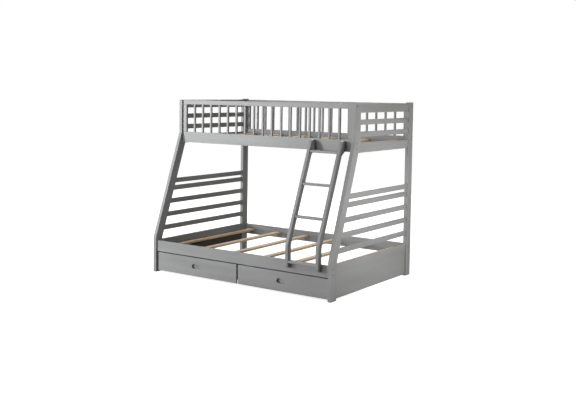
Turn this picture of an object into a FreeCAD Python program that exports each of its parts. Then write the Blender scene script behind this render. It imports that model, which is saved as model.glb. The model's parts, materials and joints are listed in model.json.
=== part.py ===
"""Bunk bed with a narrow upper bunk, a wide lower bunk, a ladder and two roll-out drawers.

Millimetres, +Z up.  The origin is on the floor, under the middle of the whole footprint.
+X runs along the bed's length and the ladder and drawers face -Y.
"""
import FreeCAD, Part
import math
import os

V = FreeCAD.Vector

# ---- overall sizes ----
BED_LENGTH = 2007.0
BED_DEPTH = 1422.0
BED_HEIGHT = 1651.0
UPPER_DEPTH = 1068.0
LADDER_PROUD = 33.0             # the ladder's foot stands this far in front of the front legs
FRONT_Y = -(BED_DEPTH + LADDER_PROUD) / 2 + LADDER_PROUD
REAR_Y = FRONT_Y + BED_DEPTH
END_X = BED_LENGTH / 2

# ---- posts and legs, each cut from one board ----
POST_THICK = 34.0
POST_WIDTH = 86.0
LOW_BEND_Z = 337.0
HIGH_BEND_Z = 1326.0
FRONT_POST_TOP = 1643.0
BEND_RADIUS = 60.0
INNER_X = END_X - POST_THICK
UPPER_FRONT_Y = REAR_Y - UPPER_DEPTH
LEAN = math.atan2(UPPER_FRONT_Y - FRONT_Y, HIGH_BEND_Z - LOW_BEND_Z)
BACK_BEND_DROP = POST_WIDTH * math.tan(LEAN / 2)

# ---- side rails, guards and bed slats ----
EASE = 2.0                      # rounding of every painted board's edges
RAIL_THICK = 22.0
RAIL_HEIGHT = 102.0
RAIL_SET_BACK = 15.0
LOWER_RAIL_Z = 199.0
UPPER_RAIL_Z = 1229.0
GUARD_TOP_HEIGHT = 43.0
GUARD_DROP = 1.0                # the guard's top lies this far below the top of the front leg
GUARD_TOP_Z = FRONT_POST_TOP - GUARD_TOP_HEIGHT - GUARD_DROP
STILE_WIDTH = 48.0
SPINDLE = 18.0
SPINDLE_COUNT = 17
SPINDLE_PITCH = 103.0
HOUSING = 10.0                  # how deep a spindle, slat or board is let into its neighbour
LEDGER_THICK = 22.0
LEDGER_HEIGHT = 40.0
LEDGER_LENGTH = 1850.0
LEDGER_LIFT = 1.0
BED_SLAT_WIDTH = 60.0
BED_SLAT_THICK = 18.0
BED_SLAT_COUNT = 6
BED_SLAT_PITCH = 347.0
BED_SLAT_EASE = 3.0
SLAT_END_GAP = 2.0

# ---- end frames ----
END_SLAT_THICK = 15.0
END_SLAT_HEIGHT = 46.0
END_BOARD_THICK = 18.0
END_PANEL_THICK = 9.0
UPPER_SLAT_Z = (1380.0, 1484.0)
LOWER_SLAT_Z = (411.0, 536.0, 661.0, 786.0, 856.0)
CAP_BOARD_Z = (1565.0, 1643.0)
END_RAIL_Z = (1220.0, 1300.0)
BASE_BOARD_Z = (240.0, 305.0)
PANEL_FOOT_Z = {"right": 14.0, "left": 120.0}

# ---- ladder ----
STRINGER_THICK = 28.0
STRINGER_WIDTH = 48.0
STRINGER_LEFT_X = (558.0, 867.0)
STRINGER_FOOT_Z = 240.0
LADDER_BEND_Z = 447.0
LADDER_LEAN = math.atan(0.395)
LADDER_TOP_Z = 1320.0
LADDER_PAD_Z = 1232.0
PAD_BELLY_Z = 1196.0
HEAD_RADIUS = 52.0
FOOT_RADIUS = 30.0
PAD_RADIUS = 22.0
RUNG_Z = (1222.0, 946.0, 672.0, 296.0)
RUNG_THICK = 22.0
RUNG_DEPTH = 44.0
RUNG_SET_BACK = 2.0
RUNG_EASE = 4.0

# ---- drawers ----
FRONT_THICK = 18.0
DRAWER_SET_BACK = 20.0
DRAWER_FRONT_Z = (16.0, 188.5)
DRAWER_SIDE_GAP = 10.0
DRAWER_MID_GAP = 18.0
BOX_BOARD = 12.0
BOX_BOTTOM = 6.0
BOX_BOTTOM_Z = 44.0
BOX_TOP_Z = 152.0
BOX_FRONT_TOP_Z = 186.0         # the inner front stands a little lower than the drawer front
BOX_DEPTH = 580.0
BOX_INSET = 12.0
BOX_EASE = 1.0
PULL_LENGTH = 98.0
PULL_HEIGHT = 42.0
PULL_Z = 106.0

# ---- drawer rollers ----
WHEEL_RADIUS = 18.0
WHEEL_WIDTH = 16.0
WHEEL_EASE = 2.0
RECESS_RADII = (6.5, 13.0)      # the ring sunk into each face of a roller
RECESS_DEPTH = 2.0
AXLE_RADIUS = 3.0
AXLE_CLEARANCE = 0.05
WHEEL_SIDE_GAP = 1.0
PLATE_THICK = 2.0
PLATE_SIZE = (44.0, 56.0)
CHEEK_WIDTH = 24.0
CHEEK_DROP = 6.0
AXLE_HEAD_RADIUS = 5.0
AXLE_HEAD_THICK = 1.5
ROLLER_INSET = (70.0, 70.0)     # from the box's sides and from its front and back

# ---- fasteners ----
BOLT_RADIUS = 3.0
BOLT_CLEARANCE = 0.25
BOLT_HEAD_RADIUS = 6.5
BOLT_HEAD_THICK = 4.0
BOLT_HEAD_SINK = 0.6
BOLT_SOCKET = 2.0
BOLT_SOCKET_RADIUS = 2.1
RAIL_BOLT_LENGTH = 78.0
RAIL_BOLT_SPREAD = 47.0
NUT_RADIUS = 5.0
NUT_LENGTH = 16.0
NUT_BACK = 12.0                 # from the bolt's tip to the barrel nut's middle
LADDER_BOLT_Z = (268.0, 1280.0)
LADDER_BOLT_LENGTH = 54.0
SCREW_RADIUS = 2.0
SCREW_LENGTH = 34.0
SCREW_HEAD_RADIUS = 4.2
SCREW_HEAD_THICK = 2.4
SCREW_HEAD_ROUND = 1.4
SLAT_SCREW_INSET = 12.0
LEDGER_SCREW_COUNT = 5
LEDGER_SCREW_PITCH = 440.0
LEDGER_SCREW_LENGTH = 36.0
SIDES = {"left": -1, "right": 1}
OVERCUT = 1.0                   # how far a cutting shape reaches past the face that it opens
TOUCH = 0.01                    # points nearer than this are the same point


def board(x, y, z, ease=EASE):
    """A board from its (low, high) pairs along X, Y and Z, with eased edges."""
    solid = Part.makeBox(x[1] - x[0], y[1] - y[0], z[1] - z[0], V(x[0], y[0], z[0]))
    return solid.makeFillet(ease, solid.Edges) if ease else solid


def profile(points, x, ease=EASE, rounds=()):
    """A board cut to a (y, z) outline and standing across x; rounds are (y, z, radius)."""
    wire = Part.makePolygon([V(x[0], y, z) for y, z in points + points[:1]])
    solid = Part.Face(wire).extrude(V(x[1] - x[0], 0, 0))
    for y, z, radius in rounds:
        edges = [e for e in solid.Edges if is_across(e, y, z)]
        solid = solid.makeFillet(radius, edges)
    if ease:
        rims = [e for f in solid.Faces if is_cheek(f) for e in f.Edges]
        solid = solid.makeFillet(ease, rims)
    return solid


def is_across(edge, y, z):
    """Whether an edge runs along X at the point (y, z)."""
    return all(abs(v.Y - y) < TOUCH and abs(v.Z - z) < TOUCH for v in edge.Vertexes)


def is_cheek(face):
    """Whether a flat face looks along X."""
    if not isinstance(face.Surface, Part.Plane):
        return False
    return abs(abs(face.normalAt(0, 0).x) - 1) < TOUCH


def rod(start, direction, radius, length):
    return Part.makeCylinder(radius, length, V(*start), V(*direction))


def turned(x_sign, pair):
    """A (low, high) pair along X for the right-hand end, mirrored for the left."""
    return pair if x_sign > 0 else (-pair[1], -pair[0])


# ---- legs, posts and the outline that the end pieces meet ----

def leg_back_y(z):
    """The back edge of a front leg at height z."""
    run = (z - LOW_BEND_Z + BACK_BEND_DROP) * math.tan(LEAN)
    low = FRONT_Y + POST_WIDTH
    high = UPPER_FRONT_Y + POST_WIDTH
    return min(max(low + run, low), high)


def front_leg(sign):
    back = (LOW_BEND_Z - BACK_BEND_DROP, HIGH_BEND_Z - BACK_BEND_DROP)
    points = [
        (FRONT_Y, 0.0),
        (FRONT_Y, LOW_BEND_Z),
        (UPPER_FRONT_Y, HIGH_BEND_Z),
        (UPPER_FRONT_Y, FRONT_POST_TOP),
        (UPPER_FRONT_Y + POST_WIDTH, FRONT_POST_TOP),
        (UPPER_FRONT_Y + POST_WIDTH, back[1]),
        (FRONT_Y + POST_WIDTH, back[0]),
        (FRONT_Y + POST_WIDTH, 0.0),
    ]
    rounds = [points[i] + (BEND_RADIUS,) for i in (1, 2, 5, 6)]
    return profile(points, turned(sign, (INNER_X, END_X)), EASE, rounds)


def rear_post(sign):
    return board(turned(sign, (INNER_X, END_X)), (REAR_Y - POST_WIDTH, REAR_Y), (0.0, BED_HEIGHT))


def end_piece(sign, z, thick):
    """A slat, board or panel of an end frame, let into the leg in front and the post behind."""
    middle = END_X - POST_THICK / 2
    back = REAR_Y - POST_WIDTH + HOUSING
    x = turned(sign, (middle - thick / 2, middle + thick / 2))
    points = [
        (leg_back_y(z[0]) - HOUSING, z[0]),
        (back, z[0]),
        (back, z[1]),
        (leg_back_y(z[1]) - HOUSING, z[1]),
    ]
    return profile(points, x)


def end_slats(sign, heights):
    half = END_SLAT_HEIGHT / 2
    return [end_piece(sign, (z - half, z + half), END_SLAT_THICK) for z in heights]


# ---- rails, guards and ledgers ----

def rail_y(place):
    """The (front, back) faces of the side rails at one of the three places they stand."""
    if place == "rear":
        return (REAR_Y - RAIL_SET_BACK - RAIL_THICK, REAR_Y - RAIL_SET_BACK)
    face = UPPER_FRONT_Y if place == "upper_front" else FRONT_Y
    return (face + RAIL_SET_BACK, face + RAIL_SET_BACK + RAIL_THICK)


def side_rail(y, z):
    return board((-INNER_X, INNER_X), y, (z, z + RAIL_HEIGHT))


def spindles(y):
    middle = (y[0] + y[1]) / 2
    z = (UPPER_RAIL_Z + RAIL_HEIGHT - HOUSING, GUARD_TOP_Z + HOUSING)
    first = -(SPINDLE_COUNT - 1) / 2 * SPINDLE_PITCH
    half = SPINDLE / 2
    made = []
    for i in range(SPINDLE_COUNT):
        x = first + i * SPINDLE_PITCH
        made.append(board((x - half, x + half), (middle - half, middle + half), z, EASE / 2))
    return made


def stiles(y):
    z = (UPPER_RAIL_Z + RAIL_HEIGHT, GUARD_TOP_Z)
    return [board(turned(s, (INNER_X - STILE_WIDTH, INNER_X)), y, z) for s in SIDES.values()]


def guard_top(y):
    return board((-INNER_X, INNER_X), y, (GUARD_TOP_Z, GUARD_TOP_Z + GUARD_TOP_HEIGHT))


def ledger(inner_face, toward, rail_z):
    """The cleat along a side rail's inner face that the bed slats lie on."""
    y = sorted((inner_face, inner_face + toward * LEDGER_THICK))
    z = rail_z + LEDGER_LIFT
    return board((-LEDGER_LENGTH / 2, LEDGER_LENGTH / 2), y, (z, z + LEDGER_HEIGHT))


def slat_places():
    first = -(BED_SLAT_COUNT - 1) / 2 * BED_SLAT_PITCH
    return [first + i * BED_SLAT_PITCH for i in range(BED_SLAT_COUNT)]


def bed_slats(y, rail_z):
    z = rail_z + LEDGER_LIFT + LEDGER_HEIGHT
    half = BED_SLAT_WIDTH / 2
    span = (y[0] + SLAT_END_GAP, y[1] - SLAT_END_GAP)
    height = (z, z + BED_SLAT_THICK)
    return [board((x - half, x + half), span, height, BED_SLAT_EASE) for x in slat_places()]


# ---- ladder ----

def stringer_front_y(z):
    return FRONT_Y - LADDER_PROUD + max(z - LADDER_BEND_Z, 0.0) * math.tan(LADDER_LEAN)


def stringer(left_x):
    """One side of the ladder: upright at the foot, leaning, with a pad at the top."""
    lower_face = rail_y("lower_front")[0]
    upper_face = rail_y("upper_front")[0]
    slant = STRINGER_WIDTH / math.cos(LADDER_LEAN)
    back_bend = LADDER_BEND_Z - STRINGER_WIDTH * math.tan(LADDER_LEAN / 2)
    belly_y = stringer_front_y(PAD_BELLY_Z) + slant
    points = [
        (stringer_front_y(0), STRINGER_FOOT_Z),
        (stringer_front_y(0), LADDER_BEND_Z),
        (stringer_front_y(LADDER_TOP_Z), LADDER_TOP_Z),
        (upper_face, LADDER_TOP_Z),
        (upper_face, LADDER_PAD_Z),
        (belly_y, PAD_BELLY_Z),
        (lower_face, back_bend),
        (lower_face, STRINGER_FOOT_Z),
    ]
    rounds = [
        points[0] + (FOOT_RADIUS,),
        points[1] + (BEND_RADIUS,),
        points[2] + (HEAD_RADIUS,),
        points[4] + (PAD_RADIUS / 2,),
        points[5] + (PAD_RADIUS,),
        points[6] + (BEND_RADIUS,),
    ]
    return profile(points, (left_x, left_x + STRINGER_THICK), EASE, rounds)


def rung(z):
    """A flat tread let into both stringers."""
    front = stringer_front_y(z + RUNG_THICK / 2) + RUNG_SET_BACK
    x = (STRINGER_LEFT_X[0] + STRINGER_THICK - HOUSING, STRINGER_LEFT_X[1] + HOUSING)
    height = (z - RUNG_THICK / 2, z + RUNG_THICK / 2)
    return board(x, (front, front + RUNG_DEPTH), height, RUNG_EASE)


# ---- drawers ----

def drawer_front_y():
    return FRONT_Y + DRAWER_SET_BACK


def drawer_x(sign):
    return turned(sign, (DRAWER_MID_GAP / 2, INNER_X - DRAWER_SIDE_GAP))


def box_x(sign):
    x = drawer_x(sign)
    return (x[0] + BOX_INSET, x[1] - BOX_INSET)


def box_y():
    front = drawer_front_y() + FRONT_THICK
    return (front, front + BOX_DEPTH)


def pull_slot(sign):
    """The long round-ended finger slot through a drawer front."""
    x = drawer_x(sign)
    middle = (x[0] + x[1]) / 2
    reach = (PULL_LENGTH - PULL_HEIGHT) / 2
    front = drawer_front_y() - OVERCUT
    depth = FRONT_THICK + 2 * OVERCUT
    corner = V(middle - reach, front, PULL_Z - PULL_HEIGHT / 2)
    flat = Part.makeBox(2 * reach, depth, PULL_HEIGHT, corner)
    left_end = rod((middle - reach, front, PULL_Z), (0, 1, 0), PULL_HEIGHT / 2, depth)
    right_end = rod((middle + reach, front, PULL_Z), (0, 1, 0), PULL_HEIGHT / 2, depth)
    return flat.multiFuse([left_end, right_end]).removeSplitter()


def drawer_front(sign):
    y = drawer_front_y()
    panel = board(drawer_x(sign), (y, y + FRONT_THICK), DRAWER_FRONT_Z, EASE)
    panel = panel.cut(pull_slot(sign))
    rim = [e for e in panel.Edges if is_pull_rim(e, sign, y)]
    return panel.makeFillet(EASE, rim)


def is_pull_rim(edge, sign, y):
    """Whether an edge is part of the finger slot's outer rim."""
    box = edge.BoundBox
    middle = sum(drawer_x(sign)) / 2
    near = abs(box.Center.x - middle) < PULL_LENGTH and abs(box.Center.z - PULL_Z) < PULL_HEIGHT
    return near and abs(box.YMin - y) < TOUCH and abs(box.YMax - y) < TOUCH


def drawer_box(sign):
    """The box's four walls and its bottom, by name."""
    x = box_x(sign)
    y = box_y()
    z = (BOX_BOTTOM_Z + BOX_BOTTOM, BOX_TOP_Z)
    between = (x[0] + BOX_BOARD, x[1] - BOX_BOARD)
    front_z = (z[0], BOX_FRONT_TOP_Z)
    return {
        "box_front": board(between, (y[0], y[0] + BOX_BOARD), front_z, BOX_EASE),
        "back": board(between, (y[1] - BOX_BOARD, y[1]), z, BOX_EASE),
        "left_side": board((x[0], x[0] + BOX_BOARD), y, z, BOX_EASE),
        "right_side": board((x[1] - BOX_BOARD, x[1]), y, z, BOX_EASE),
        "bottom": board(x, y, (BOX_BOTTOM_Z, BOX_BOTTOM_Z + BOX_BOTTOM), 0),
    }


def roller_x(sign):
    x = box_x(sign)
    return (x[0] + ROLLER_INSET[0], x[1] - ROLLER_INSET[0])


def roller_y():
    y = box_y()
    return {"front": y[0] + ROLLER_INSET[1], "rear": y[1] - ROLLER_INSET[1]}


def wheel(x, y):
    """One roller with a ring sunk into each face; its bore is a running fit on its pin."""
    start = x - WHEEL_WIDTH / 2
    along = (1, 0, 0)
    solid = rod((start, y, WHEEL_RADIUS), along, WHEEL_RADIUS, WHEEL_WIDTH)
    rims = [e for e in solid.Edges if e.Closed and len(e.Vertexes) == 1]
    solid = solid.makeFillet(WHEEL_EASE, rims)
    for face_x in (start, start + WHEEL_WIDTH - RECESS_DEPTH):
        hub = rod((face_x, y, WHEEL_RADIUS), along, RECESS_RADII[0], RECESS_DEPTH)
        ring = rod((face_x, y, WHEEL_RADIUS), along, RECESS_RADII[1], RECESS_DEPTH)
        solid = solid.cut(ring.cut(hub))
    bore_start = (start - OVERCUT, y, WHEEL_RADIUS)
    bore = rod(bore_start, along, AXLE_RADIUS + AXLE_CLEARANCE, WHEEL_WIDTH + 2 * OVERCUT)
    return solid.cut(bore)


def cheek_reach():
    """Half the room between a roller bracket's cheeks."""
    return WHEEL_WIDTH / 2 + WHEEL_SIDE_GAP


def bracket(x, y):
    """A bent steel fork under the drawer, which holds one roller's pin."""
    length, width = PLATE_SIZE
    corner = V(x - length / 2, y - width / 2, BOX_BOTTOM_Z - PLATE_THICK)
    solid = Part.makeBox(length, width, PLATE_THICK, corner)
    low = WHEEL_RADIUS - CHEEK_DROP
    for start in (x - cheek_reach() - PLATE_THICK, x + cheek_reach()):
        corner = V(start, y - CHEEK_WIDTH / 2, low)
        cheek = Part.makeBox(PLATE_THICK, CHEEK_WIDTH, BOX_BOTTOM_Z - low, corner)
        solid = solid.fuse(cheek)
    bore = rod((x - length / 2, y, WHEEL_RADIUS), (1, 0, 0), AXLE_RADIUS, length)
    return solid.removeSplitter().cut(bore)


def axle(x, y):
    reach = cheek_reach() + PLATE_THICK
    pin = rod((x - reach, y, WHEEL_RADIUS), (1, 0, 0), AXLE_RADIUS, 2 * reach)
    for start in (x - reach - AXLE_HEAD_THICK, x + reach):
        pin = pin.fuse(rod((start, y, WHEEL_RADIUS), (1, 0, 0), AXLE_HEAD_RADIUS, AXLE_HEAD_THICK))
    return pin.removeSplitter()


# ---- fasteners ----

def bolt(start, direction, length):
    """A flat-headed bolt with a round key socket; start is the middle of the head's outer face."""
    head = rod(start, direction, BOLT_HEAD_RADIUS, BOLT_HEAD_THICK)
    shank = rod(start, direction, BOLT_RADIUS, length)
    socket = rod(start, direction, BOLT_SOCKET_RADIUS, BOLT_SOCKET)
    return head.fuse(shank).removeSplitter().cut(socket)


def bolt_hole(start, direction, length):
    """The room that a bolt needs: a sunk seat for its head and a clearance hole."""
    out = [s - d * OVERCUT for s, d in zip(start, direction)]
    seat = rod(out, direction, BOLT_HEAD_RADIUS + BOLT_CLEARANCE, BOLT_HEAD_THICK + OVERCUT)
    return seat.fuse(rod(start, direction, BOLT_RADIUS + BOLT_CLEARANCE, length + OVERCUT))


def barrel_nut(middle, direction, bolt_direction):
    start = [m - d * NUT_LENGTH / 2 for m, d in zip(middle, direction)]
    nut = rod(start, direction, NUT_RADIUS, NUT_LENGTH)
    through = [m - d * NUT_RADIUS * 2 for m, d in zip(middle, bolt_direction)]
    return nut.cut(rod(through, bolt_direction, BOLT_RADIUS, NUT_RADIUS * 4))


def rail_bolt_places():
    """Where bolts pass through the posts into the rails: (sign, rail's place, z)."""
    places = []
    for rail_z, front in ((LOWER_RAIL_Z, "lower_front"), (UPPER_RAIL_Z, "upper_front")):
        for step in (-1, 1):
            z = rail_z + RAIL_HEIGHT / 2 + step * RAIL_BOLT_SPREAD / 2
            places += [(front, z), ("rear", z)]
    for place in ("upper_front", "rear"):
        places.append((place, GUARD_TOP_Z + GUARD_TOP_HEIGHT / 2))
    return [(sign, place, z) for sign in SIDES.values() for place, z in places]


def rail_fasteners():
    """Bolts, barrel nuts and the room both need, at every rail end; nuts go in from inside the bed."""
    bolts, nuts, room = [], [], []
    for sign, place, z in rail_bolt_places():
        y = sum(rail_y(place)) / 2
        inside = (0, -1, 0) if place == "rear" else (0, 1, 0)
        start = (sign * (END_X - BOLT_HEAD_SINK), y, z)
        inward = (-sign, 0, 0)
        nut_x = sign * (END_X - BOLT_HEAD_SINK - RAIL_BOLT_LENGTH + NUT_BACK)
        bolts.append(bolt(start, inward, RAIL_BOLT_LENGTH))
        nuts.append(barrel_nut((nut_x, y, z), inside, inward))
        room.append(bolt_hole(start, inward, RAIL_BOLT_LENGTH))
        seat = (nut_x, y - inside[1] * NUT_LENGTH / 2, z)
        room.append(rod(seat, inside, NUT_RADIUS, NUT_LENGTH / 2 + RAIL_THICK))
    return bolts, nuts, room


def ladder_fasteners():
    """Bolts from behind the front rails into barrel nuts across the ladder's stringers."""
    bolts, nuts, room = [], [], []
    for left_x in STRINGER_LEFT_X:
        x = left_x + STRINGER_THICK / 2
        for z, place in zip(LADDER_BOLT_Z, ("lower_front", "upper_front")):
            y = rail_y(place)[1] - BOLT_HEAD_SINK
            nut_y = y - LADDER_BOLT_LENGTH + NUT_BACK
            bolts.append(bolt((x, y, z), (0, -1, 0), LADDER_BOLT_LENGTH))
            nuts.append(barrel_nut((x, nut_y, z), (1, 0, 0), (0, -1, 0)))
            room.append(bolt_hole((x, y, z), (0, -1, 0), LADDER_BOLT_LENGTH))
            room.append(rod((x + NUT_LENGTH / 2, nut_y, z), (-1, 0, 0), NUT_RADIUS, STRINGER_THICK))
    return bolts, nuts, room


def screw(start, direction, length):
    """A round-headed wood screw; start is the middle of the surface that its head sits on."""
    head_start = [s - d * SCREW_HEAD_THICK for s, d in zip(start, direction)]
    head = rod(head_start, direction, SCREW_HEAD_RADIUS, SCREW_HEAD_THICK)
    top = V(*head_start)
    rim = [e for e in head.Edges if e.Closed and (e.BoundBox.Center - top).Length < TOUCH]
    head = head.makeFillet(SCREW_HEAD_ROUND, rim)
    return head.fuse(rod(start, direction, SCREW_RADIUS, length)).removeSplitter()


def slat_screws(y, rail_z):
    top = rail_z + LEDGER_LIFT + LEDGER_HEIGHT + BED_SLAT_THICK
    inset = SLAT_END_GAP + SLAT_SCREW_INSET
    ends = (y[0] + inset, y[1] - inset)
    return [screw((x, end, top), (0, 0, -1), SCREW_LENGTH) for x in slat_places() for end in ends]


def ledger_screws(inner_face, toward, rail_z):
    z = rail_z + LEDGER_LIFT + LEDGER_HEIGHT / 2
    first = -(LEDGER_SCREW_COUNT - 1) / 2 * LEDGER_SCREW_PITCH
    xs = [first + i * LEDGER_SCREW_PITCH for i in range(LEDGER_SCREW_COUNT)]
    y = inner_face + toward * LEDGER_THICK
    return [screw((x, y, z), (0, -toward, 0), LEDGER_SCREW_LENGTH) for x in xs]


# ---- putting it together ----

END_PIECES = (
    "cap_board",
    "upper_end_slats",
    "upper_end_rail",
    "lower_end_slats",
    "base_board",
    "base_panel",
)
HOLED = ("_leg", "_post", "_rail", "_ledger", "guard_top", "stringer", "bed_slats")


def cut_room(shape, tools):
    """A shape less every tool whose box meets its own."""
    near = [t for t in tools if shape.BoundBox.intersect(t.BoundBox)]
    return shape.cut(near) if near else shape


def frame_nodes():
    """The bed's frame: name to a list of solids."""
    nodes = {}
    for side, sign in SIDES.items():
        nodes[f"{side}_front_leg"] = [front_leg(sign)]
        nodes[f"{side}_rear_post"] = [rear_post(sign)]
        nodes[f"{side}_cap_board"] = [end_piece(sign, CAP_BOARD_Z, END_BOARD_THICK)]
        nodes[f"{side}_upper_end_slats"] = end_slats(sign, UPPER_SLAT_Z)
        nodes[f"{side}_upper_end_rail"] = [end_piece(sign, END_RAIL_Z, END_BOARD_THICK)]
        nodes[f"{side}_lower_end_slats"] = end_slats(sign, LOWER_SLAT_Z)
        nodes[f"{side}_base_board"] = [end_piece(sign, BASE_BOARD_Z, END_BOARD_THICK)]
        panel_z = (PANEL_FOOT_Z[side], BASE_BOARD_Z[0])
        nodes[f"{side}_base_panel"] = [end_piece(sign, panel_z, END_PANEL_THICK)]
    for name, place, rail_z in (
        ("lower_front", "lower_front", LOWER_RAIL_Z),
        ("lower_rear", "rear", LOWER_RAIL_Z),
        ("upper_front", "upper_front", UPPER_RAIL_Z),
        ("upper_rear", "rear", UPPER_RAIL_Z),
    ):
        y = rail_y(place)
        toward = -1 if place == "rear" else 1
        inner = y[0] if place == "rear" else y[1]
        nodes[f"{name}_rail"] = [side_rail(y, rail_z)]
        nodes[f"{name}_ledger"] = [ledger(inner, toward, rail_z)]
    for name, place in (("front", "upper_front"), ("rear", "rear")):
        y = rail_y(place)
        nodes[f"{name}_guard_top"] = [guard_top(y)]
        nodes[f"{name}_guard_stiles"] = stiles(y)
        nodes[f"{name}_guard_spindles"] = spindles(y)
    nodes["lower_bed_slats"] = bed_slats(well_y("lower_front"), LOWER_RAIL_Z)
    nodes["upper_bed_slats"] = bed_slats(well_y("upper_front"), UPPER_RAIL_Z)
    return nodes


def well_y(front):
    """The room between the front and rear rails of one bunk."""
    return (rail_y(front)[1], rail_y("rear")[0])


def ladder_nodes():
    return {
        "ladder_left_stringer": [stringer(STRINGER_LEFT_X[0])],
        "ladder_right_stringer": [stringer(STRINGER_LEFT_X[1])],
        "ladder_rungs": [rung(z) for z in RUNG_Z],
    }


def drawer_nodes():
    nodes = {}
    for side, sign in SIDES.items():
        nodes[f"{side}_drawer_front"] = [drawer_front(sign)]
        for name, solid in drawer_box(sign).items():
            nodes[f"{side}_drawer_{name}"] = [solid]
        spots = [(x, y) for x in roller_x(sign) for y in roller_y().values()]
        nodes[f"{side}_drawer_roller_brackets"] = [bracket(x, y) for x, y in spots]
        nodes[f"{side}_drawer_roller_pins"] = [axle(x, y) for x, y in spots]
        for row, y in roller_y().items():
            nodes[f"{side}_drawer_{row}_rollers"] = [wheel(x, y) for x in roller_x(sign)]
    return nodes


def let_in(nodes):
    """Cut the housings that the spindles, end pieces and rungs sit in."""
    for side in SIDES:
        members = [s for n in END_PIECES for s in nodes[f"{side}_{n}"]]
        for holder in (f"{side}_front_leg", f"{side}_rear_post"):
            nodes[holder] = [cut_room(s, members) for s in nodes[holder]]
    for place in ("front", "rear"):
        for holder in (f"upper_{place}_rail", f"{place}_guard_top"):
            nodes[holder] = [cut_room(s, nodes[f"{place}_guard_spindles"]) for s in nodes[holder]]
    for side in SIDES:
        holder = f"ladder_{side}_stringer"
        nodes[holder] = [cut_room(s, nodes["ladder_rungs"]) for s in nodes[holder]]


def fasten(nodes):
    """Add the fasteners and cut the holes that they need."""
    bolts, nuts, room = rail_fasteners()
    ladder_bolts, ladder_nuts, ladder_room = ladder_fasteners()
    screws, cleat_screws = [], []
    for front, rail_z in (("lower_front", LOWER_RAIL_Z), ("upper_front", UPPER_RAIL_Z)):
        y = well_y(front)
        screws += slat_screws(y, rail_z)
        cleat_screws += ledger_screws(y[0], 1, rail_z) + ledger_screws(y[1], -1, rail_z)
    tools = room + ladder_room + screws + cleat_screws
    for name in [n for n in nodes if n.endswith(HOLED)]:
        nodes[name] = [cut_room(s, tools) for s in nodes[name]]
    nodes["rail_bolts"] = bolts
    nodes["ladder_bolts"] = ladder_bolts
    nodes["barrel_nuts"] = nuts + ladder_nuts
    nodes["slat_screws"] = screws
    nodes["ledger_screws"] = cleat_screws


def main():
    nodes = frame_nodes()
    nodes.update(ladder_nodes())
    let_in(nodes)
    fasten(nodes)
    nodes.update(drawer_nodes())
    os.makedirs("parts", exist_ok=True)
    for name, solids in nodes.items():
        shape = solids[0] if len(solids) == 1 else Part.makeCompound(solids)
        shape.exportStep(f"parts/{name}.step")
        print(name, len(shape.Solids), round(shape.Volume), shape.isValid())
    print(len(nodes), "nodes")


main()
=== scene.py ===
import json
import math

import bpy
from bpy.props import FloatProperty, FloatVectorProperty, IntProperty, PointerProperty
from mathutils import Matrix, Vector


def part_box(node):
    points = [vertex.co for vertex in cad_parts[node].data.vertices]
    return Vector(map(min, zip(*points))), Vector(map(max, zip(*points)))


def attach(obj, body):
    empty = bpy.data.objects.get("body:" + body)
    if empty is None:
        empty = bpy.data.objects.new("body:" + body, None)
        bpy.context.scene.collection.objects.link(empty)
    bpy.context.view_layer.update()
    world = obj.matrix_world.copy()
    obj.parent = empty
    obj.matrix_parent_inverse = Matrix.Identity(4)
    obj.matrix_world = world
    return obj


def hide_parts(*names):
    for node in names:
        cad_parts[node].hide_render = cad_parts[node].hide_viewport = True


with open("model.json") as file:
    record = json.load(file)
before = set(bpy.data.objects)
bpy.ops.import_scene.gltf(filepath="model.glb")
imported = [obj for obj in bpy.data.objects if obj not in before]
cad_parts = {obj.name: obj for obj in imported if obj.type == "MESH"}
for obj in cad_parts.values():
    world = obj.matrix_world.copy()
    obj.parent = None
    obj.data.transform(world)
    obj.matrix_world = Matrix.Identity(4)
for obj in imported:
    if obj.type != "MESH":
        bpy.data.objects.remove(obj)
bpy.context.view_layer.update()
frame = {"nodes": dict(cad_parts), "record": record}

bl_info = {
    "name": "Bunk Bed With Ladder",
    "version": (1, 0, 0),
    "blender": (4, 5, 0),
    "location": "View3D > Sidebar > Bunk Bed",
    "description": "Finishes, fittings and a studio for a painted bunk bed",
    "category": "Object",
}

NODES = frame["nodes"]
BED = "bed"

# The camera: its place in metres, its turn in radians (yaw, pitch and roll), and its lens in millimetres.
CAMERA_PLACE = (4.7448, -6.6986, 1.7539)
CAMERA_TURN = (-0.607, -0.0591, 0.0142)
CAMERA_LENS = 54.112
CAMERA_SHIFT = (-0.00432, -0.10924)
SENSOR_WIDTH = 36.0

# The bent boards, in metres: the heights where a front leg bends, its width, the height where a stringer
# bends, and the stringer's slope as a plain ratio.
LEG_BENDS = (0.337, 1.326)
POST_WIDTH = 0.086
LADDER_BEND = 0.447
LADDER_SLOPE = 0.395

# The floor, in metres: its width, how far it lies below the feet, and where it brightens to white.
FLOOR_SIZE = 80.0
FLOOR_DROP = 0.0004
GLOW_START, GLOW_END = 1.8, 5.0

# The lamps: setting, place, where it aims, width in metres, and tint.
NEUTRAL = (1.0, 1.0, 0.99)
COOL = (0.96, 0.985, 1.05)
BED_MIDDLE = (0.0, 0.0, 0.8)
LAMPS = (
    ("front", (-1.5, -9.0, 2.4), BED_MIDDLE, 2.5, NEUTRAL),
    ("left", (-5.4, -6.4, 1.5), (0.0, -0.4, 1.0), 1.3, NEUTRAL),
    ("key", (-2.2, -2.6, 2.3), (-0.6, -0.4, 1.3), 1.4, COOL),
    ("right", (2.1, 0.1, 1.0), (1.0, 0.1, 0.9), 1.6, NEUTRAL),
    ("far_right", (6.0, 2.5, 1.6), (1.0, 0.0, 0.8), 2.0, NEUTRAL),
    ("top", (0.0, -0.4, 4.4), BED_MIDDLE, 3.0, NEUTRAL),
    ("back", (-3.0, 4.4, 4.6), BED_MIDDLE, 2.2, NEUTRAL),
)

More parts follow.
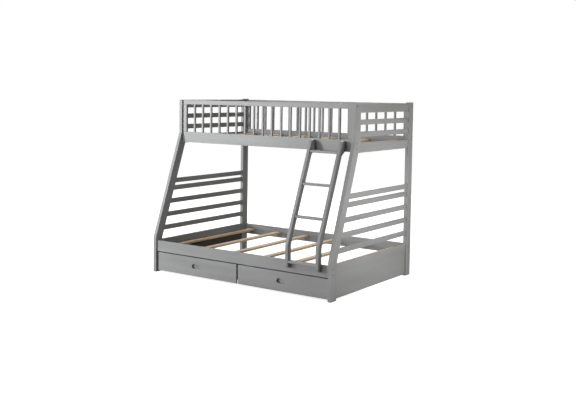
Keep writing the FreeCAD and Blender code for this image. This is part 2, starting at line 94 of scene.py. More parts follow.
# Rounded edges in metres, and the share of a screw head's thickness that is domed.
HEAD_EASE = 0.0006
SHANK_EASE = 0.0005
TREAD_EASE = 0.002
SCREW_DOME = 0.55

# Shares of a roller's radius where its sunk ring begins and ends, and of its width for the ring's depth.
HUB_SHARE = 0.36
RIM_SHARE = 0.76
RECESS_SHARE = 0.28

# Modelling distances in metres, and angles.
LONG_TOOL = 1.0         # a cutting shape that goes right through
OVERCUT = 0.001         # how far a cutting shape reaches past the face that it opens
OVERLAP = 0.0001        # how far joined solids reach into each other
TOUCH = 1e-6            # points nearer than this are the same point
BEVEL_ANGLE = math.radians(40)
SMOOTH_ANGLE = math.radians(35)


# ---- settings ----

def colour(name, description, default):
    return FloatVectorProperty(
        name=name, description=description, default=default, subtype="COLOR", size=3, min=0.0, max=1.0
    )


def length(name, description, default):
    return FloatProperty(name=name, description=description, default=default, unit="LENGTH", min=0.0)


def amount(name, description, default, low=0.0, high=1.0):
    return FloatProperty(
        name=name, description=description, default=default, min=low, max=high, subtype="FACTOR"
    )


def watts(name, description, default):
    return FloatProperty(name=name, description=description, default=default, min=0.0, unit="POWER")


class PaintSettings(bpy.types.PropertyGroup):
    tone: colour("Paint", "Colour of the satin paint", (0.229, 0.229, 0.227))
    bare: colour("Rubbed edge", "Colour that shows where an edge is rubbed", (0.40, 0.39, 0.37))
    roughness: amount("Roughness", "Roughness of the paint", 0.46)
    grain_depth: length("Grain depth", "Depth of the wood grain that shows through the paint", 0.00022)
    rub: amount("Edge rub", "How much of the edges is rubbed", 0.35)
    mottle: amount("Mottle", "How far the paint's tone drifts over a board", 0.10)


class PineSettings(bpy.types.PropertyGroup):
    early: colour("Early wood", "Light wood between the rings", (0.640, 0.500, 0.346))
    late: colour("Late wood", "Darker wood of the rings", (0.480, 0.326, 0.190))
    knot: colour("Knot", "Colour of the knots", (0.210, 0.092, 0.038))
    ring_pitch: length("Ring pitch", "Distance between rings on a slat's face", 0.011)
    roughness: amount("Roughness", "Roughness of the planed wood", 0.58)


# Bare hardboard, coloured far darker than the real board as painted shade inside the base panels and the
# drawers; the flecks are the board's own fibres.
class HardboardShadeSettings(bpy.types.PropertyGroup):
    board: colour(
        "Hardboard", "Bare board inside the base panels and in the drawers", (0.052, 0.040, 0.032)
    )
    fleck: colour("Fleck", "Lighter fibres in the bare board", (0.100, 0.078, 0.062))
    roughness: amount("Roughness", "Roughness of the bare board", 0.78)


class SteelSettings(bpy.types.PropertyGroup):
    tone: colour("Steel", "Colour of the zinc-plated steel", (0.56, 0.57, 0.59))
    roughness: amount("Roughness", "Roughness of the plating", 0.34)
    bronzed: colour("Bronzed steel", "Colour of the darkened bolts", (0.150, 0.122, 0.096))
    head_radius: length("Bolt head radius", "Radius of a bolt's head", 0.0065)
    head_thick: length("Bolt head thickness", "Thickness of a bolt's head", 0.004)
    shank_radius: length("Bolt shank radius", "Radius of a bolt's shank", 0.003)
    socket_radius: length("Socket radius", "Radius of the key socket's corners", 0.0034)
    socket_depth: length("Socket depth", "Depth of the key socket", 0.0022)
    screw_head_radius: length("Screw head radius", "Radius of a screw's head", 0.0042)
    screw_head_thick: length("Screw head thickness", "Thickness of a screw's head", 0.0024)
    screw_radius: length("Screw radius", "Radius of a screw's shank", 0.002)
    cross_length: length("Cross length", "Length of each arm of a screw's cross recess", 0.0046)
    cross_width: length("Cross width", "Width of the arms of a screw's cross recess", 0.0009)


class RollerSettings(bpy.types.PropertyGroup):
    tone: colour("Roller", "Colour of the moulded rollers", (0.030, 0.031, 0.034))
    radius: length("Radius", "Radius of a roller", 0.018)
    width: length("Width", "Width of a roller", 0.016)
    bore: length("Bore radius", "Radius of the hole for the pin", 0.00305)
    rib: length("Rib thickness", "Thickness of the ribs on a roller's faces", 0.0016)
    spokes: IntProperty(
        name="Spokes", description="Ribs on each face of a roller", default=6, min=3, max=12
    )


class StudioSettings(bpy.types.PropertyGroup):
    floor: colour("Floor", "Colour of the floor", (0.68, 0.68, 0.68))
    glow: amount("Floor glow", "How far the floor is lifted towards white near the bed", 0.80)
    sky: amount("Sky", "Strength of the even light", 0.03, 0.0, 4.0)
    front: watts("Front light", "Power of the light far in front", 188.0)
    left: watts("Left light", "Power of the low light far to the front left", 300.0)
    key: watts("Key light", "Power of the near light at the front left", 58.0)
    right: watts("Right light", "Power of the near light at the right end", 26.0)
    far_right: watts("Far right light", "Power of the light far to the right", 14.0)
    top: watts("Top light", "Power of the light overhead", 48.0)
    back: watts("Back light", "Power of the high light behind on the left", 190.0)


GROUPS = {
    "bunk_paint": PaintSettings,
    "bunk_pine": PineSettings,
    "bunk_hardboard": HardboardShadeSettings,
    "bunk_steel": SteelSettings,
    "bunk_roller": RollerSettings,
    "bunk_studio": StudioSettings,
}


# ---- node trees ----

class Tree:
    """A material's nodes, put in one call at a time."""

    def __init__(self, name):
        self.material = bpy.data.materials.new(name)
        self.material.use_nodes = True
        self.nodes = self.material.node_tree.nodes
        self.links = self.material.node_tree.links
        self.shader = self.nodes["Principled BSDF"]
        self.coords = self.nodes.new("ShaderNodeTexCoord")

    def feed(self, socket, value):
        """Link a socket, or set its value."""
        if isinstance(value, bpy.types.NodeSocket):
            self.links.new(value, socket)
        elif value is not None:
            socket.default_value = value

    def place(self, scale=(1, 1, 1), vector=None):
        """Object coordinates, or another vector, stretched."""
        node = self.nodes.new("ShaderNodeMapping")
        self.feed(node.inputs["Vector"], vector or self.coords.outputs["Object"])
        node.inputs["Scale"].default_value = scale
        return node.outputs["Vector"]

    def noise(self, vector, scale, detail=3.0, roughness=0.55, distortion=0.0):
        node = self.nodes.new("ShaderNodeTexNoise")
        self.feed(node.inputs["Vector"], vector)
        node.inputs["Scale"].default_value = scale
        node.inputs["Detail"].default_value = detail
        node.inputs["Roughness"].default_value = roughness
        node.inputs["Distortion"].default_value = distortion
        return node.outputs["Fac"]

    def cells(self, vector, scale):
        node = self.nodes.new("ShaderNodeTexVoronoi")
        self.feed(node.inputs["Vector"], vector)
        node.inputs["Scale"].default_value = scale
        return node.outputs["Distance"]

    def math(self, operation, a, b=None):
        node = self.nodes.new("ShaderNodeMath")
        node.operation = operation
        for socket, value in zip(node.inputs, (a, b)):
            self.feed(socket, value)
        return node.outputs["Value"]

    def between(self, value, low, high, to_low=0.0, to_high=1.0):
        """A value carried from one range to another and held inside it."""
        node = self.nodes.new("ShaderNodeMapRange")
        self.feed(node.inputs["Value"], value)
        node.inputs["From Min"].default_value = low
        node.inputs["From Max"].default_value = high
        node.inputs["To Min"].default_value = to_low
        node.inputs["To Max"].default_value = to_high
        return node.outputs["Result"]

    def mix(self, factor, a, b):
        node = self.nodes.new("ShaderNodeMix")
        node.data_type = "RGBA"
        self.feed(node.inputs["Factor"], factor)
        self.feed(node.inputs["A"], a)
        self.feed(node.inputs["B"], b)
        return node.outputs["Result"]

    def split(self, vector):
        node = self.nodes.new("ShaderNodeSeparateXYZ")
        self.feed(node.inputs["Vector"], vector)
        return node.outputs

    def join(self, x, y, z):
        node = self.nodes.new("ShaderNodeCombineXYZ")
        for socket, value in zip(node.inputs, (x, y, z)):
            self.feed(socket, value)
        return node.outputs["Vector"]

    def bump(self, height, distance, strength=1.0, under=None):
        node = self.nodes.new("ShaderNodeBump")
        self.feed(node.inputs["Height"], height)
        self.feed(node.inputs["Normal"], under)
        node.inputs["Distance"].default_value = distance
        node.inputs["Strength"].default_value = strength
        return node.outputs["Normal"]

    def finish(self, base, roughness, normal, metallic=0.0, specular=0.5):
        self.feed(self.shader.inputs["Base Color"], base)
        self.feed(self.shader.inputs["Roughness"], roughness)
        self.feed(self.shader.inputs["Normal"], normal)
        self.shader.inputs["Metallic"].default_value = metallic
        self.shader.inputs["Specular IOR Level"].default_value = specular
        return self.material


def rgba(tone, gain=1.0):
    return tuple(c * gain for c in tone) + (1.0,)


def along(axis, run, across):
    """A stretch with little change along one axis and much across it."""
    return tuple(run if a == axis else across for a in "XYZ")


def edge_mask(tree, bent):
    """1 on a board's rounded edges and 0 on its flat faces; on a bent board, only X tells them apart."""
    normal = tree.split(tree.coords.outputs["Normal"])
    sizes = [tree.math("ABSOLUTE", out) for out in normal]
    if bent:
        side = tree.math("SUBTRACT", 1.0, sizes[0])
        return tree.math("MULTIPLY", tree.between(side, 0.02, 0.15), tree.between(sizes[0], 0.08, 0.3))
    flat = tree.math("MAXIMUM", tree.math("MAXIMUM", sizes[0], sizes[1]), sizes[2])
    return tree.between(flat, 0.97, 0.85)


def straightened(tree, low, high, shift):
    """Object coordinates with a bent board's lean taken out, so that the grain follows the board."""
    parts = tree.split(tree.coords.outputs["Object"])
    lean = tree.between(parts["Z"], low, high, 0.0, shift)
    return tree.join(parts["X"], tree.math("SUBTRACT", parts["Y"], lean), parts["Z"])


# How often a pattern changes per metre: a pair is along the grain and across it, three are X, Y and Z.
PAINTED_GRAIN = (1.4, 62.0)
PAINTED_PORES = (14.0, 620.0)
PAINTED_DRIFT = (1.1, 9.0)
PINE_WANDER = (1.3, 5.0)
PINE_KNOTS = (2.6, 9.0)
PINE_FIBRE = (7.0, 520.0)
PINE_DRIFT = (0.8, 2.9)
BRUSH_PEEL = 1500.0
EDGE_WEAR = 38.0
BOARD_FIBRE = 260.0
BOARD_STAIN = 6.0
PLATE_SPANGLE = 900.0
PLATE_SMEAR = 120.0
PLASTIC_GRIT = 1800.0
TREAD_SCUFF = (40.0, 160.0, 160.0)

# Depths of the fine relief, in metres.
PEEL_DEPTH = 0.00003
FIBRE_DEPTH = 0.00009
RING_DEPTH = 0.00012
BOARD_DEPTH = 0.00008
SPANGLE_DEPTH = 0.00002
GRIT_DEPTH = 0.00003


def painted(name, settings, axis, bend=None, panel=None):
    """Satin paint over wood whose grain runs along one axis; a panel's inner face is bare board, darkened
    as painted shade.
    """
    tree = Tree(name)
    base = straightened(tree, *bend) if bend else tree.coords.outputs["Object"]
    grain = tree.noise(tree.place(along(axis, *PAINTED_GRAIN), vector=base), 1.0, 6.0, 0.62, 0.4)
    pores = tree.noise(tree.place(along(axis, *PAINTED_PORES), vector=base), 1.0, 2.0, 0.5)
    drift = tree.noise(tree.place(along(axis, *PAINTED_DRIFT), vector=base), 1.0, 3.0, 0.5)
    peel = tree.noise(tree.place(), BRUSH_PEEL, 2.0, 0.5)
    patches = tree.between(tree.noise(tree.place(), EDGE_WEAR, 4.0, 0.7), 0.46, 0.68)
    rubbed = tree.math("MULTIPLY", edge_mask(tree, bend is not None), patches)
    mottle = settings.mottle
    shade = tree.math("ADD", tree.between(drift, 0.3, 0.7, 1 - mottle, 1 + mottle),
                      tree.between(grain, 0.3, 0.7, -0.4 * mottle, 0.4 * mottle))
    tone = tree.mix(tree.between(shade, 0.8, 1.2), rgba(settings.tone, 0.8), rgba(settings.tone, 1.2))
    tone = tree.mix(tree.math("MULTIPLY", rubbed, settings.rub), tone, rgba(settings.bare))
    dull = tree.math("ADD", tree.between(grain, 0.3, 0.7, -0.05, 0.06),
                     tree.between(drift, 0.3, 0.7, settings.roughness - 0.04, settings.roughness + 0.04))
    relief = tree.bump(peel, PEEL_DEPTH, 0.5)
    relief = tree.bump(pores, settings.grain_depth * 0.35, 0.6, relief)
    relief = tree.bump(grain, settings.grain_depth, 0.8, relief)
    # The inner face gets bare board, coloured far darker than real hardboard as painted shade.
    if panel:
        bare = inner_face_painted_shade(tree)
        tone = tree.mix(bare, tone, hardboard(tree, panel))
        dull = tree.math("MAXIMUM", dull, tree.math("MULTIPLY", bare, panel.roughness))
    return tree.finish(tone, dull, relief)


def inner_face_painted_shade(tree):
    """1 on the face of an end panel that looks into the bed, where darkened bare board paints in the
    shade.
    """
    place = tree.split(tree.coords.outputs["Object"])
    facing = tree.split(tree.coords.outputs["Normal"])
    inward = tree.math("MULTIPLY", tree.math("SIGN", place["X"]), facing["X"])
    return tree.between(inward, -0.5, -0.6)


def matted(tree):
    """The fibres of bare hardboard."""
    return tree.noise(tree.place(), BOARD_FIBRE, 5.0, 0.75, 1.2)


def hardboard(tree, settings):
    """The colour of bare brown board with matted fibres, made far darker than the board as painted shade.
    """
    stain = tree.noise(tree.place(), BOARD_STAIN, 2.0, 0.5)
    tone = tree.mix(tree.between(matted(tree), 0.45, 0.75), rgba(settings.board), rgba(settings.fleck))
    return tree.mix(tree.between(stain, 0.35, 0.7, 0.0, 0.35), tone, rgba(settings.board, 0.7))


def hardboard_with_painted_shade(name, settings):
    """Bare brown board all over a piece, made far darker than the board as painted shade."""
    tree = Tree(name)
    fibres = matted(tree)
    rough = tree.between(fibres, 0.4, 0.75, settings.roughness - 0.1, settings.roughness)
    relief = tree.bump(fibres, BOARD_DEPTH, 0.7)
    return tree.finish(hardboard(tree, settings), rough, relief, specular=0.3)


def pine(name, settings, axis, across):
    """Bare planed pine: rings, fine fibres and a few knots."""
    tree = Tree(name)
    wander = tree.noise(tree.place(along(axis, *PINE_WANDER)), 1.0, 2.0, 0.5)
    parts = tree.split(tree.coords.outputs["Object"])
    knot_field = tree.cells(tree.place(along(axis, *PINE_KNOTS)), 1.0)
    knot = tree.between(knot_field, 0.10, 0.055)
    halo = tree.between(knot_field, 0.34, 0.06)
    wave = tree.math("ADD", parts[across], tree.math("MULTIPLY", wander, 0.16))
    wave = tree.math("ADD", wave, tree.math("MULTIPLY", halo, 0.018))
    ring = tree.math("SINE", tree.math("MULTIPLY", wave, 2 * math.pi / settings.ring_pitch))
    ring = tree.math("POWER", tree.between(ring, -1.0, 1.0), 2.2)
    fibre = tree.noise(tree.place(along(axis, *PINE_FIBRE)), 1.0, 3.0, 0.6)
    drift = tree.noise(tree.place(along(axis, *PINE_DRIFT)), 1.0, 1.0, 0.5)
    tone = tree.mix(tree.math("MULTIPLY", ring, 0.62), rgba(settings.early), rgba(settings.late))
    tone = tree.mix(tree.between(fibre, 0.45, 0.75, 0.0, 0.28), tone, rgba(settings.late, 0.8))
    tone = tree.mix(tree.between(drift, 0.35, 0.7, 0.0, 0.30), tone, rgba(settings.late, 1.1))
    tone = tree.mix(tree.math("MULTIPLY", halo, 0.45), tone, rgba(settings.late, 0.8))
    tone = tree.mix(knot, tone, rgba(settings.knot))
    rough = tree.between(ring, 0.0, 1.0, settings.roughness + 0.06, settings.roughness - 0.08)
    relief = tree.bump(fibre, FIBRE_DEPTH, 0.6)
    relief = tree.bump(ring, RING_DEPTH, 0.5, relief)
    return tree.finish(tone, rough, relief, specular=0.35)


def plated(name, settings, colour_of_plate):
    """Plated steel with a faint spangle and handling marks."""
    tree = Tree(name)
    spangle = tree.cells(tree.place(), PLATE_SPANGLE)
    smear = tree.noise(tree.place(), PLATE_SMEAR, 4.0, 0.6)
    bright, dark = rgba(colour_of_plate, 1.1), rgba(colour_of_plate, 0.72)
    tone = tree.mix(tree.between(smear, 0.35, 0.7), bright, dark)
    tone = tree.mix(tree.between(spangle, 0.2, 0.8, 0.0, 0.25), tone, rgba(colour_of_plate, 0.6))
    rough = tree.between(smear, 0.3, 0.7, settings.roughness - 0.08, settings.roughness + 0.14)
    return tree.finish(tone, rough, tree.bump(spangle, SPANGLE_DEPTH, 0.5), metallic=1.0)


def moulded(name, settings):
    """Moulded plastic of the rollers, scuffed on its tread."""
    tree = Tree(name)
    grit = tree.noise(tree.place(), PLASTIC_GRIT, 2.0, 0.5)
    scuff = tree.noise(tree.place(TREAD_SCUFF), 1.0, 4.0, 0.6)
    worn = tree.between(scuff, 0.5, 0.72)
    tone = tree.mix(tree.math("MULTIPLY", worn, 0.5), rgba(settings.tone), rgba(settings.tone, 3.2))
    rough = tree.between(scuff, 0.35, 0.7, 0.36, 0.62)
    return tree.finish(tone, rough, tree.bump(grit, GRIT_DEPTH, 0.6), specular=0.45)


# ---- modelling by hand ----

def clear_selection():
    if bpy.context.object and bpy.context.object.mode != "OBJECT":
        bpy.ops.object.mode_set(mode="OBJECT")
    bpy.ops.object.select_all(action="DESELECT")


def make_active(piece):
    clear_selection()
    piece.select_set(True)
    bpy.context.view_layer.objects.active = piece


def settle(piece, name, material):
    """Put the piece's place, turn and scale into its mesh, then name and finish it."""
    make_active(piece)
    bpy.ops.object.transform_apply(location=True, rotation=True, scale=True)
    piece.name = name
    piece.data.name = name
    piece.data.materials.clear()
    piece.data.materials.append(material)
    return piece


def cylinder(radius, depth, place, axis="Z", sides=32):
    """A capped cylinder standing with its middle at a place."""
    turn = {"X": (0.0, math.pi / 2, 0.0), "Y": (math.pi / 2, 0.0, 0.0), "Z": (0.0, 0.0, 0.0)}[axis]
    clear_selection()
    bpy.ops.mesh.primitive_cylinder_add(
        vertices=sides, radius=radius, depth=depth, location=place, rotation=turn, end_fill_type="NGON"
    )
    return bpy.context.object


def apply_modifier(piece, kind, **values):
    make_active(piece)
    modifier = piece.modifiers.new(kind.title(), kind)
    for key, value in values.items():
        setattr(modifier, key, value)
    bpy.ops.object.modifier_apply(modifier=modifier.name)


def cut(piece, tool):
    """Take a tool's shape out of a piece, and the tool away."""
    apply_modifier(piece, "BOOLEAN", object=tool, operation="DIFFERENCE", solver="EXACT")
    bpy.data.objects.remove(tool)


def add_to(piece, other):
    apply_modifier(piece, "BOOLEAN", object=other, operation="UNION", solver="EXACT")
    bpy.data.objects.remove(other)


def ease_edges(piece, width, segments):
    apply_modifier(
        piece, "BEVEL", width=width, segments=segments, limit_method="ANGLE", angle_limit=BEVEL_ANGLE
    )


def smooth(piece):
    make_active(piece)
    bpy.ops.object.shade_smooth_by_angle(angle=SMOOTH_ANGLE)


def copies(piece, transforms):
    """Copies of a piece, each with its own mesh, joined into one; the first piece goes."""
    make_active(piece)
    bpy.ops.object.transform_apply(location=True, rotation=True, scale=True)
    made = []
    for transform in transforms:
        twin = piece.copy()
        twin.data = piece.data.copy()
        twin.data.transform(transform)
        bpy.context.scene.collection.objects.link(twin)
        made.append(twin)
    bpy.data.objects.remove(piece)
    make_active(made[0])
    for twin in made:
        twin.select_set(True)
    if len(made) > 1:
        bpy.ops.object.join()
    return bpy.context.object


# ---- CAD nodes ----

def nodes_of(slot):
    return [p["node"] for p in frame["record"]["subparts"] if p["material_slot"] == slot]


def finish_node(node, material):
    mesh = NODES[node].data
    mesh.materials.clear()
    mesh.materials.append(material)


def islands(node):
    """(lowest corner, highest corner) of each separate solid in a CAD node, in metres."""
    mesh = NODES[node].data
    merged = {}
    corner = [merged.setdefault(tuple(round(c, 6) for c in v.co), len(merged)) for v in mesh.vertices]
    parent = list(range(len(merged)))

    def root(i):
        while parent[i] != i:
            parent[i] = parent[parent[i]]
            i = parent[i]
        return i

    for edge in mesh.edges:
        a, b = (root(corner[v]) for v in edge.vertices)
        parent[a] = b
    boxes = {}
    for place, i in merged.items():
        low, high = boxes.setdefault(root(i), (list(place), list(place)))
        for axis in range(3):
            low[axis] = min(low[axis], place[axis])
            high[axis] = max(high[axis], place[axis])
    return [(Vector(low), Vector(high)) for low, high in sorted(boxes.values())]


def longest_axis(low, high):
    size = high - low
    return max(range(3), key=lambda axis: size[axis])


def shank_length(node):
    low, high = islands(node)[0]
    return (high - low)[longest_axis(low, high)]


def bolt_places(node):
    """Where each fastener of a CAD node goes: its head is at its fatter end."""
    places = []
    for low, high in islands(node):
        axis = longest_axis(low, high)
        head, direction = head_end(node, low, high, axis)
        turn = Vector((0, 0, -1)).rotation_difference(direction).to_matrix().to_4x4()
        places.append(Matrix.Translation(head) @ turn)
    return places


def head_end(node, low, high, axis):
    """(middle of the head's outer face, direction into the wood) of one fastener."""
    middle = (low + high) / 2
    reach = 0.0
    end = 1
    for vertex in NODES[node].data.vertices:
        co = vertex.co
        if all(low[i] - TOUCH <= co[i] <= high[i] + TOUCH for i in range(3)):
            away = max(abs(co[i] - middle[i]) for i in range(3) if i != axis)
            if away > reach + TOUCH:
                reach = away
                end = 1 if co[axis] > middle[axis] else -1
    head = middle.copy()
    head[axis] = high[axis] if end > 0 else low[axis]
    direction = Vector((0.0, 0.0, 0.0))
    direction[axis] = -end
    return head, direction


# ---- fittings and lamps ----

def shank_below(radius, length, head_thick, sides):
    """A fastener's shank, reaching a little way up into its head."""
    reach = length - head_thick
    return cylinder(radius, reach, (0, 0, -head_thick - reach / 2 + OVERLAP), sides=sides)


def socket_bolt(settings, length):
    """A flat-headed bolt with a six-sided key socket, pointing down from its head at the origin."""
    thick = settings.head_thick
    bolt = cylinder(settings.head_radius, thick, (0, 0, -thick / 2), sides=40)
    cut(bolt, cylinder(settings.socket_radius, settings.socket_depth * 2, (0, 0, 0), sides=6))
    ease_edges(bolt, HEAD_EASE, 3)
    shank = shank_below(settings.shank_radius, length, thick, 20)
    ease_edges(shank, SHANK_EASE, 2)
    add_to(bolt, shank)
    return bolt


def cross_screw(settings, length):
    """A round-headed wood screw with a cross recess, pointing down from its head at the origin."""
    thick = settings.screw_head_thick
    screw = cylinder(settings.screw_head_radius, thick, (0, 0, -thick / 2), sides=32)
    ease_edges(screw, thick * SCREW_DOME, 4)
    for turn in (0.0, math.pi / 2):
        clear_selection()
        bpy.ops.mesh.primitive_cube_add(size=1.0, location=(0, 0, 0), rotation=(0, 0, turn))
        slot = bpy.context.object
        slot.scale = (settings.cross_length, settings.cross_width, thick)
        cut(screw, slot)
    add_to(screw, shank_below(settings.screw_radius, length, thick, 16))
    return screw


def ribbed_roller(settings):
    """One roller lying along X with its middle at the origin."""
    wheel = cylinder(settings.radius, settings.width, (0, 0, 0), "X", 48)
    ease_edges(wheel, TREAD_EASE, 4)
    recess = settings.width * RECESS_SHARE
    for end in (-1, 1):
        middle = end * (settings.width / 2 - recess / 2 + OVERCUT / 2)
        pocket = cylinder(settings.radius * RIM_SHARE, recess + OVERCUT, (middle, 0, 0), "X", 48)
        cut(pocket, cylinder(settings.radius * HUB_SHARE, LONG_TOOL, (0, 0, 0), "X", 32))
        for i in range(settings.spokes):
            clear_selection()
            angle = 2 * math.pi * i / settings.spokes
            bpy.ops.mesh.primitive_cube_add(size=1.0, location=(0, 0, 0), rotation=(angle, 0, 0))
            rib = bpy.context.object
            rib.scale = (LONG_TOOL, settings.rib, settings.radius)
            reach = settings.radius / 2
            rib.location = (0, -math.sin(angle) * reach, math.cos(angle) * reach)
            cut(pocket, rib)
        cut(wheel, pocket)
    cut(wheel, cylinder(settings.bore, LONG_TOOL, (0, 0, 0), "X", 24))
    return wheel


def soft_box(name, place, target, size, power, tint):
    """A square area light, itself unseen, aimed from one place at another."""
    data = bpy.data.lights.new(name, "AREA")
    data.shape = "SQUARE"
    data.size = size
    data.energy = power
    data.color = tint
    lamp = bpy.data.objects.new(name, data)
    aim = Vector(target) - Vector(place)
    lamp.matrix_world = Matrix.Translation(place) @ aim.to_track_quat("-Z", "Y").to_matrix().to_4x4()
    lamp.visible_camera = False
    bpy.context.scene.collection.objects.link(lamp)


# ---- operators ----

class BUNK_OT_paint_frame(bpy.types.Operator):
    """Paint every board of the frame, the guards, the ladder and the drawers"""

    bl_idname = "bunk.paint_frame"
    bl_label = "Paint the frame"

    def execute(self, context):
        settings = context.scene.bunk_paint
        low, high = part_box("left_front_leg")
        leg_bend = (LEG_BENDS[0], LEG_BENDS[1], high.y - low.y - POST_WIDTH)
        low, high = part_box("ladder_left_stringer")
        ladder_bend = (LADDER_BEND, high.z, (high.z - LADDER_BEND) * LADDER_SLOPE)
        finishes = {
            "paint_along_x": painted("paint_along_x", settings, "X"),
            "paint_along_y": painted("paint_along_y", settings, "Y"),
            "paint_upright": painted("paint_upright", settings, "Z"),
            "paint_drawer": painted("paint_drawer", settings, "X"),
            "paint_panel": painted("paint_panel", settings, "Y", panel=context.scene.bunk_hardboard),
        }
        bent_leg = painted("paint_bent_leg", settings, "Z", leg_bend)
        bent_stringer = painted("paint_bent_stringer", settings, "Z", ladder_bend)
        for part in frame["record"]["subparts"]:
            node, slot = part["node"], part["material_slot"]
            if slot not in finishes:
                continue
            finish = finishes[slot]
            if node.endswith("_front_leg"):
                finish = bent_leg
            if node.endswith("_stringer"):
                finish = bent_stringer
            finish_node(node, finish)
        return {"FINISHED"}


class BUNK_OT_finish_pine(bpy.types.Operator):
    """Give the bed slats their bare pine, and the drawers' bottoms bare hardboard darkened as painted
    shade
    """

    bl_idname = "bunk.finish_pine"
    bl_label = "Finish the bare wood"

    def execute(self, context):
        scene = context.scene
        slat_pine = pine("slat_pine", scene.bunk_pine, "Y", "X")
        # The drawers' bottoms are bare board made far darker than real hardboard, painted shade that
        # darkens the gaps round the drawers.
        bottom = hardboard_with_painted_shade("drawer_hardboard", scene.bunk_hardboard)
        for slot, material in (("pine_slat", slat_pine), ("hardboard", bottom)):
            for node in nodes_of(slot):
                finish_node(node, material)
        return {"FINISHED"}


class BUNK_OT_fit_hardware(bpy.types.Operator):
    """Model the bolts and screws with their sockets and cross recesses, and plate the other steel"""

    bl_idname = "bunk.fit_hardware"
    bl_label = "Fit the hardware"

    def execute(self, context):
        settings = context.scene.bunk_steel
        steel = plated("zinc_plate", settings, settings.tone)
        bronze = plated("bronzed_steel", settings, settings.bronzed)
        for node in nodes_of("steel"):
            finish_node(node, steel)
        for node in ("rail_bolts", "ladder_bolts"):
            bolts = copies(socket_bolt(settings, shank_length(node)), bolt_places(node))
            self.hand_over(settle(bolts, f"{node}_detailed", bronze), node)
        for node in ("slat_screws", "ledger_screws"):
            screws = copies(cross_screw(settings, shank_length(node)), bolt_places(node))
            self.hand_over(settle(screws, f"{node}_detailed", steel), node)
        return {"FINISHED"}

    def hand_over(self, piece, node):
        smooth(piece)
        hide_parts(node)
        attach(piece, BED)


class BUNK_OT_mould_rollers(bpy.types.Operator):
    """Model the drawers' rollers with hubs, ribs and a rounded tread"""

    bl_idname = "bunk.mould_rollers"
    bl_label = "Mould the rollers"

    def execute(self, context):
        settings = context.scene.bunk_roller
        plastic = moulded("roller_plastic", settings)
        for side in ("left", "right"):
            for row in ("front", "rear"):
                node = f"{side}_drawer_{row}_rollers"
                spots = [Matrix.Translation((low + high) / 2) for low, high in islands(node)]
                rollers = settle(copies(ribbed_roller(settings), spots), f"{node}_detailed", plastic)
                smooth(rollers)
                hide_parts(node)
                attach(rollers, f"{side}_{row}_rollers")
                finish_node(node, plastic)
        return {"FINISHED"}


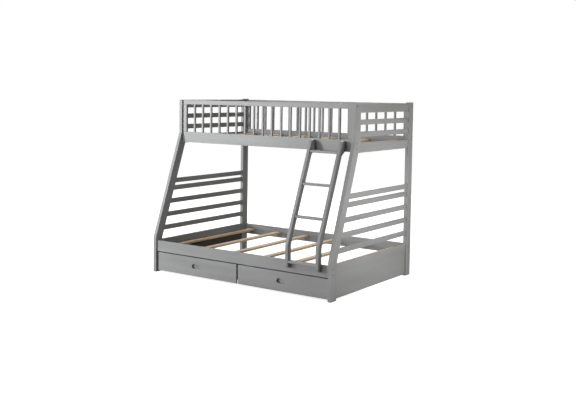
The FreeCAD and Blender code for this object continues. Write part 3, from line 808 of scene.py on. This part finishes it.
class BUNK_OT_build_studio(bpy.types.Operator):
    """Lay the floor, hang the lights and set the camera"""

    bl_idname = "bunk.build_studio"
    bl_label = "Build the studio"

    def execute(self, context):
        scene = context.scene
        settings = scene.bunk_studio
        scene.view_settings.view_transform = "Standard"
        self.lay_floor(settings)
        self.light_room(scene, settings)
        self.place_camera(scene)
        return {"FINISHED"}

    def lay_floor(self, settings):
        """A wide floor that brightens to white away from the bed."""
        clear_selection()
        bpy.ops.mesh.primitive_plane_add(size=FLOOR_SIZE, location=(0, 0, -FLOOR_DROP))
        floor = bpy.context.object
        floor.name = "studio_floor"
        tree = Tree("studio_floor")
        cloud = tree.noise(tree.place(), 1.2, 2.0, 0.5)
        tone = tree.mix(cloud, rgba(settings.floor, 0.99), rgba(settings.floor, 1.01))
        parts = tree.split(tree.coords.outputs["Object"])
        squares = [tree.math("POWER", parts[axis], 2.0) for axis in "XY"]
        away = tree.math("SQRT", tree.math("ADD", *squares))
        glow = tree.between(away, GLOW_START, GLOW_END, settings.glow, 1.0)
        seen = tree.nodes.new("ShaderNodeLightPath").outputs["Is Camera Ray"]
        tree.feed(tree.shader.inputs["Base Color"], tone)
        tree.feed(tree.shader.inputs["Emission Strength"], tree.math("MULTIPLY", glow, seen))
        tree.shader.inputs["Emission Color"].default_value = (1.0, 1.0, 1.0, 1.0)
        tree.shader.inputs["Roughness"].default_value = 0.9
        tree.shader.inputs["Specular IOR Level"].default_value = 0.1
        floor.data.materials.append(tree.material)

    def light_room(self, scene, settings):
        """White all round to look at, dim to be lit by, and the soft lamps."""
        world = bpy.data.worlds.new("studio_world")
        world.use_nodes = True
        nodes, links = world.node_tree.nodes, world.node_tree.links
        seen = nodes.new("ShaderNodeLightPath").outputs["Is Camera Ray"]
        level = nodes.new("ShaderNodeMapRange")
        level.inputs["To Min"].default_value = settings.sky
        links.new(seen, level.inputs["Value"])
        links.new(level.outputs["Result"], nodes["Background"].inputs["Strength"])
        nodes["Background"].inputs["Color"].default_value = (1.0, 1.0, 1.0, 1.0)
        scene.world = world
        for name, place, target, size, tint in LAMPS:
            soft_box(f"{name}_light", place, target, size, getattr(settings, name), tint)

    def place_camera(self, scene):
        """A nearly level camera in front of the bed's right end."""
        yaw, pitch, roll = CAMERA_TURN
        level = math.cos(pitch)
        forward = Vector((math.sin(yaw) * level, math.cos(yaw) * level, math.sin(pitch)))
        right = Vector((math.cos(yaw), -math.sin(yaw), 0.0))
        up = right.cross(forward)
        turned_right = right * math.cos(roll) + up * math.sin(roll)
        turned_up = up * math.cos(roll) - right * math.sin(roll)
        data = bpy.data.cameras.new("studio_camera")
        camera = bpy.data.objects.new("studio_camera", data)
        scene.collection.objects.link(camera)
        data.sensor_width = SENSOR_WIDTH
        data.lens = CAMERA_LENS
        data.shift_x, data.shift_y = CAMERA_SHIFT
        turn = Matrix((turned_right, turned_up, -forward)).transposed()
        camera.matrix_world = Matrix.Translation(CAMERA_PLACE) @ turn.to_4x4()
        scene.camera = camera


OPERATORS = (
    BUNK_OT_paint_frame,
    BUNK_OT_finish_pine,
    BUNK_OT_fit_hardware,
    BUNK_OT_mould_rollers,
    BUNK_OT_build_studio,
)


class BUNK_PT_sidebar(bpy.types.Panel):
    """Lists the steps that finish the bunk bed"""

    bl_idname = "BUNK_PT_sidebar"
    bl_label = "Bunk Bed"
    bl_space_type = "VIEW_3D"
    bl_region_type = "UI"
    bl_category = "Bunk Bed"

    def draw(self, context):
        for operator in OPERATORS:
            self.layout.operator(operator.bl_idname)
        for name, group in GROUPS.items():
            box = self.layout.box()
            for key in group.__annotations__:
                box.prop(getattr(context.scene, name), key)


def register():
    for cls in (*GROUPS.values(), *OPERATORS, BUNK_PT_sidebar):
        bpy.utils.register_class(cls)
    for name, group in GROUPS.items():
        setattr(bpy.types.Scene, name, PointerProperty(type=group))


def unregister():
    for name in GROUPS:
        delattr(bpy.types.Scene, name)
    for cls in reversed((*GROUPS.values(), *OPERATORS, BUNK_PT_sidebar)):
        bpy.utils.unregister_class(cls)


def main():
    register()
    bpy.ops.bunk.paint_frame()
    bpy.ops.bunk.finish_pine()
    bpy.ops.bunk.fit_hardware()
    bpy.ops.bunk.mould_rollers()
    bpy.ops.bunk.build_studio()


if __name__ == "__main__":
    main()
